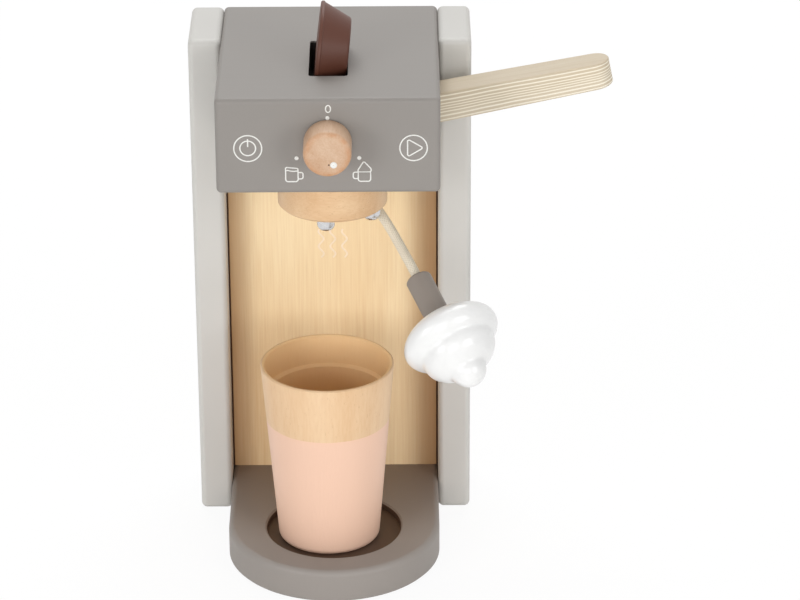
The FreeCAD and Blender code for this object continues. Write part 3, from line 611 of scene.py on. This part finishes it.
colour_between(lever_wood, lever_shader, ply_dark, lever_lines, linear(PLY_DARK))
bump(lever_wood, lever_shader, lever_grain.outputs["Height"], 0.1, 0.0004)
dress("lever", lever_wood)

# Capsule
# A turned wooden capsule with a thin rim, sprayed satin brown.
# It is a loose piece that stands in the slot on its rim, leaning a little.
CAPSULE_BROWN = (90, 51, 37)
capsule_paint = painted("capsule_paint", CAPSULE_BROWN, (120.0, 300.0, 300.0), tone=0.05, relief=0.08)
capsule_shader = capsule_paint.node_tree.nodes["Principled BSDF"]
capsule_shader.inputs["Coat Weight"].default_value = 0.12
capsule_shader.inputs["Coat Roughness"].default_value = 0.3
capsule_shader.inputs["Specular IOR Level"].default_value = 0.35
dress("capsule", capsule_paint)

# Cup
# Turned from one piece of beech, a loose piece that stands in the recess.
# It is lacquered clear inside and round the rim and dipped pink below. Inside, painted light gives the bore
# a brighter, warmer colour.
CUP_CENTRE = (-0.002, -0.0417)
CUP_BASE = 0.0111
CUP_HEIGHT = 0.0806
CUP_FOOT_RADIUS = 0.0214
CUP_RIM_RADIUS = 0.0281
CUP_HALF_WALL = 0.0008
CUP_FOOT_HEIGHT = 0.004
CUP_PAINT_TOP = 0.067
PAINT_WAVE = 0.0006
CUP_PINK = (243, 203, 178)
CUP_INSIDE_LIGHT = (255, 216, 160)
CUP_PALE = (240, 207, 168)
CUP_DARK = (228, 188, 144)
cup_wood, cup_shader, cup_grain = lacquered(
    "cup_beech", CUP_PALE, CUP_DARK, (90.0, 90.0, 14.0), (1100.0, 1100.0, 160.0), 0.3)
cup_axes = object_axes(cup_wood)
cup_x = calculate(cup_wood, "SUBTRACT", cup_axes["X"], CUP_CENTRE[0])
cup_y = calculate(cup_wood, "SUBTRACT", cup_axes["Y"], CUP_CENTRE[1])
cup_reach = reach(cup_wood, cup_x, cup_y)
cup_slope = (CUP_RIM_RADIUS - CUP_FOOT_RADIUS) / CUP_HEIGHT
cup_middle = calculate(cup_wood, "MULTIPLY_ADD", cup_axes["Z"], cup_slope,
                       CUP_FOOT_RADIUS - CUP_HALF_WALL - cup_slope * CUP_BASE)
cup_outside = calculate(cup_wood, "GREATER_THAN", cup_reach, cup_middle)
cup_foot = calculate(cup_wood, "LESS_THAN", cup_axes["Z"], CUP_BASE + CUP_FOOT_HEIGHT)
paint_edge = calculate(cup_wood, "MULTIPLY_ADD", speckle(cup_wood, 90.0, 1.0), PAINT_WAVE,
                       CUP_PAINT_TOP - PAINT_WAVE / 2)
cup_low = calculate(cup_wood, "LESS_THAN", cup_axes["Z"], paint_edge)
cup_skin = calculate(cup_wood, "MAXIMUM", cup_outside, cup_foot)
cup_painted = calculate(cup_wood, "MULTIPLY", cup_skin, cup_low)
cup_film = cup_wood.node_tree.nodes.new("ShaderNodeGroup")
cup_film.node_tree = paint_film
wire(cup_wood, object_place(cup_wood), cup_film.inputs["Place"])
cup_film.inputs["Paint"].default_value = linear(CUP_PINK)
cup_film.inputs["Grain Stretch"].default_value = (300.0, 300.0, 14.0)
cup_film.inputs["Tone"].default_value = 0.02
# Painted light: the inside of the bore takes a brighter, warmer colour in place of the light and warm bounce
# that fall into it.
cup_lit_inside = blend_colours(cup_wood, cup_outside, linear(CUP_INSIDE_LIGHT), cup_grain.outputs["Colour"])
cup_mixed = blend_colours(cup_wood, 0.7, cup_grain.outputs["Colour"], cup_lit_inside)
colour_between(cup_wood, cup_shader, cup_painted, cup_mixed, cup_film.outputs["Colour"])
dress("cup", cup_wood)

# Cream grip
# A turned wooden grip, sprayed taupe, with a rounded upper rim. The cord is glued into it.
GRIP_PAINT = (146, 136, 127)
grip_paint = painted("grip_paint", GRIP_PAINT, (300.0, 120.0, 120.0))
dress("cream_ferrule", grip_paint)

# Cream dollop
# Turned and carved wood with a thick gloss white lacquer. Each turn of the swirl runs into the next.
CREAM_WHITE = (243, 243, 242)
CREAM_SHADE = (237, 237, 236)
CREAM_SKIN = 0.0005
cream_lacquer, cream_shader = new_material("cream_lacquer", 0.34)
cream_wave = speckle(cream_lacquer, 120.0, 1.0)
colour_between(cream_lacquer, cream_shader, cream_wave, linear(CREAM_WHITE), linear(CREAM_SHADE))
cream_shader.inputs["Coat Weight"].default_value = 0.5
cream_shader.inputs["Coat Roughness"].default_value = 0.16
bump(cream_lacquer, cream_shader, cream_wave, 0.08, 0.0008)
cream = dress("cream_dollop", cream_lacquer)
skin = cream.modifiers.new("skin", "REMESH")
skin.mode = "VOXEL"
skin.voxel_size = CREAM_SKIN
skin.use_smooth_shade = True
softening = cream.modifiers.new("softening", "SMOOTH")
softening.factor = 0.5
softening.iterations = 26

# White prints
# Screen printed on the front board: the dial's zero and dots, a power and a play sign and two cups.
# The sizes of all prints are in millimetres, seen from the front.
FRONT_FACE = -0.0655
STROKE = 0.00055
PRINT_PALE = (240, 240, 236)
PRINT_DARK = (226, 225, 220)
POWER_X = -32.1
PLAY_X = 34.4


def print_ink(name, pale, dark, grain):
    """Material of a thin, slightly worn print."""
    ink, shader = new_material(name, 0.5)
    wear = speckle(ink, grain)
    colour_between(ink, shader, wear, linear(pale), linear(dark))
    bump(ink, shader, wear, 0.1, 0.0001)
    return ink


print_white = print_ink("print_white", PRINT_PALE, PRINT_DARK, 1500.0)


def arc(x, z, radius, start, end, steps=32):
    """Points in millimetres on an arc, from one angle to another in degrees."""
    turns = [math.radians(start + (end - start) * step / steps) for step in range(steps + 1)]
    return [(x + radius * math.cos(turn), z + radius * math.sin(turn)) for turn in turns]


def print_lines(name, strokes, face, width=STROKE):
    """Raised print of line strokes on an upright face; each stroke is (points in mm, closed)."""
    drawing = bpy.data.curves.new(name, "CURVE")
    drawing.dimensions = "3D"
    drawing.bevel_depth = width / 2
    drawing.bevel_resolution = 2
    for points, closed in strokes:
        line = drawing.splines.new("POLY")
        line.points.add(len(points) - 1)
        for point, (x, z) in zip(line.points, points):
            point.co = (x / 1000, 0.0, z / 1000, 1.0)
        line.use_cyclic_u = closed
    drawing.use_fill_caps = True
    mark = bpy.data.objects.new(name, drawing)
    bpy.context.scene.collection.objects.link(mark)
    bpy.ops.object.select_all(action="DESELECT")
    mark.select_set(True)
    bpy.context.view_layer.objects.active = mark
    bpy.ops.object.convert(target="MESH")
    mark = bpy.context.view_layer.objects.active
    mark.data.transform(Matrix.Translation((0, face, 0)) @ Matrix.Diagonal((1, 0.25, 1, 1)))
    mark.data.materials.clear()
    mark.data.materials.append(print_white)
    bpy.ops.object.shade_smooth()
    mark.select_set(False)
    return mark


zero = [(0.3 + 1.0 * math.cos(turn), 215.7 + 1.5 * math.sin(turn))
        for turn in (math.radians(15 * step) for step in range(24))]
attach(print_lines("print_zero", [(zero, True)], FRONT_FACE, 0.0005), "frame")

dots = [(arc(x, z, 0.42, 0, 345, 23), True) for x, z in ((0.0, 211.8), (-12.56, 194.5), (12.56, 194.5))]
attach(print_lines("print_dots", dots, FRONT_FACE, 0.0009), "frame")

power = [(arc(POWER_X, 198.8, 5.6, 0, 352, 44), True), (arc(POWER_X, 198.9, 3.15, 0, 350, 35), True),
         ([(POWER_X, 202.9), (POWER_X, 199.5)], False)]
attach(print_lines("print_power", power, FRONT_FACE), "frame")

triangle = (arc(PLAY_X + 2.8, 198.7, 0.6, -60, 60, 6) + arc(PLAY_X - 1.8, 201.5, 0.6, 60, 180, 6)
            + arc(PLAY_X - 1.8, 195.9, 0.6, 180, 300, 6))
play = [(arc(PLAY_X, 198.7, 5.5, 0, 352, 44), True), (triangle, True)]
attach(print_lines("print_play", play, FRONT_FACE), "frame")


def cup_handle(side):
    """Square handle of a printed cup, on the side of the dial; side is -1 on the left and 1 on the right."""
    points = ([(12.1, 188.3), (10.9, 188.3)] + arc(10.9, 187.5, 0.8, 90, 180, 5)
              + arc(10.9, 186.3, 0.8, 180, 270, 5) + [(12.1, 185.5)])
    return [(side * x, z) for x, z in points]


mug_body = ([(-17.1, 190.2), (-16.8, 190.5), (-12.5, 190.1), (-12.1, 189.7)]
            + arc(-13.1, 185.3, 1.0, 360, 270, 5) + arc(-16.1, 185.3, 1.0, 270, 180, 5))
mug_fill = [(-17.1, 189.1), (-16.2, 189.2), (-15.0, 188.9), (-13.6, 188.8), (-12.1, 189.0)]
mug = [(mug_body, True), (mug_fill, False), (cup_handle(-1), False)]
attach(print_lines("print_coffee_cup", mug, FRONT_FACE), "frame")

creamed_body = ([(12.1, 188.4)] + arc(13.1, 185.3, 1.0, 180, 270, 5) + arc(16.1, 185.3, 1.0, 270, 360, 5)
                + [(17.1, 188.4)])
creamed_top = [(12.1, 188.6), (12.0, 189.2), (12.5, 190.0), (13.1, 191.0), (13.8, 192.2), (14.2, 192.7),
               (14.7, 192.7), (15.3, 192.0), (16.2, 191.0), (17.1, 190.0), (17.4, 189.2), (17.1, 188.6)]
creamed = [(creamed_body, True), (creamed_top, False), (cup_handle(1), False)]
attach(print_lines("print_cream_cup", creamed, FRONT_FACE), "frame")

# Steam print
# Three wavy steam lines, printed in pale cream on the lacquered rear panel.
PANEL_FACE = 0.0137
STEAM_PALE = (255, 236, 212)
STEAM_DARK = (250, 224, 194)
STEAM_BOTTOM = 115.0
STEAM_SWAY = 1.1
print_cream = print_ink("print_cream", STEAM_PALE, STEAM_DARK, 800.0)
rises = [step * 0.35 for step in range(39)]
steam = []
for shift in (-5.0, 0.0, 5.0):
    wave = [(shift + STEAM_SWAY * math.sin(rise * math.pi / 3.5), STEAM_BOTTOM + rise) for rise in rises]
    steam.append((wave, False))
steam_print = print_lines("print_steam", steam, PANEL_FACE, 0.0008)
steam_print.data.materials[0] = print_cream
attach(steam_print, "frame")

# The dial's white dot
# A small dot of the same white paint on the knob's face, low on the right.
# It turns with the knob and shows its setting.
pointer = [(arc(2.5, 197.25, 0.7, 0, 345, 23), True)]
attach(print_lines("knob_dot", pointer, -0.0795, 0.0014), "dial")

# The speck beside the dot
# A tiny dark pore in the knob's end grain, next to the white dot.
# It is part of the wood and turns with the knob.
SPECK_DARK = (70, 50, 38)
SPECK_PALE = (110, 84, 66)
speck_dark, speck_shader = new_material("speck_dark", 0.9)
speck_tone = speckle(speck_dark, 2000.0)
colour_between(speck_dark, speck_shader, speck_tone, linear(SPECK_DARK), linear(SPECK_PALE))
speck = print_lines("knob_speck", [(arc(0.6, 197.3, 0.16, 0, 330, 11), True)], KNOB_FACE, 0.0004)
speck.data.materials[0] = speck_dark
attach(speck, "dial")

# Floor and light
# A plain white floor, which keeps the toy's soft shadow, and soft light from above and in front.
# What is seen of floor and sky is white, also in the steel and in the lacquer.
bpy.ops.mesh.primitive_plane_add(size=8.0, location=(0, 0, 0))
floor = bpy.context.active_object
floor.name = "floor"
floor_white, floor_shader = new_material("floor_white", 0.9)
floor_shader.inputs["Base Color"].default_value = (0.9, 0.9, 0.9, 1.0)
floor_shader.inputs["Specular IOR Level"].default_value = 0.0
floor_glow = add(floor_white, "ShaderNodeEmission", Strength=1.02)
floor_mix = floor_white.node_tree.nodes.new("ShaderNodeMixShader")
floor_path = floor_white.node_tree.nodes.new("ShaderNodeLightPath")
floor_mirrored = calculate(floor_white, "MAXIMUM", floor_path.outputs["Is Glossy Ray"],
                           floor_path.outputs["Is Transmission Ray"])
floor_seen = calculate(floor_white, "MAXIMUM", floor_path.outputs["Is Camera Ray"], floor_mirrored)
wire(floor_white, calculate(floor_white, "MULTIPLY", floor_seen, 0.9), floor_mix.inputs[0])
wire(floor_white, floor_shader.outputs[0], floor_mix.inputs[1])
wire(floor_white, floor_glow.outputs[0], floor_mix.inputs[2])
wire(floor_white, floor_mix.outputs[0], floor_white.node_tree.nodes["Material Output"].inputs["Surface"])
floor.data.materials.append(floor_white)

world = bpy.data.worlds.new("studio")
bpy.context.scene.world = world
world.use_nodes = True
sky = world.node_tree.nodes["Background"]
sky.inputs["Color"].default_value = (1.0, 1.0, 1.0, 1.0)
sky_path = world.node_tree.nodes.new("ShaderNodeLightPath")
sky_seen = world.node_tree.nodes.new("ShaderNodeMath")
sky_seen.operation = "MAXIMUM"
sky_mirrored = world.node_tree.nodes.new("ShaderNodeMath")
sky_mirrored.operation = "MAXIMUM"
world.node_tree.links.new(sky_path.outputs["Is Glossy Ray"], sky_mirrored.inputs[0])
world.node_tree.links.new(sky_path.outputs["Is Transmission Ray"], sky_mirrored.inputs[1])
world.node_tree.links.new(sky_path.outputs["Is Camera Ray"], sky_seen.inputs[0])
world.node_tree.links.new(sky_mirrored.outputs[0], sky_seen.inputs[1])
sky_level = world.node_tree.nodes.new("ShaderNodeMapRange")
sky_level.inputs["To Min"].default_value = 0.32
sky_level.inputs["To Max"].default_value = 1.0
world.node_tree.links.new(sky_seen.outputs[0], sky_level.inputs["Value"])
world.node_tree.links.new(sky_level.outputs["Result"], sky.inputs["Strength"])

for name, place, size, power in (
        ("left_light", (-1.3, -1.4, 0.55), 0.8, 10.2),
        ("right_light", (1.3, -1.4, 0.55), 0.8, 8.8),
        ("front_light", (0.0, -2.1, 0.5), 1.0, 10.2),
        ("top_light", (0.0, 0.9, 1.7), 1.3, 20.5)):
    lamp_data = bpy.data.lights.new(name, "AREA")
    lamp_data.energy = power
    lamp_data.size = size
    lamp = bpy.data.objects.new(name, lamp_data)
    bpy.context.scene.collection.objects.link(lamp)
    lamp.location = place
    lamp.rotation_euler = (Vector((0, -0.02, 0.1)) - Vector(place)).to_track_quat("-Z", "Y").to_euler()

bpy.context.scene.view_settings.view_transform = "Standard"
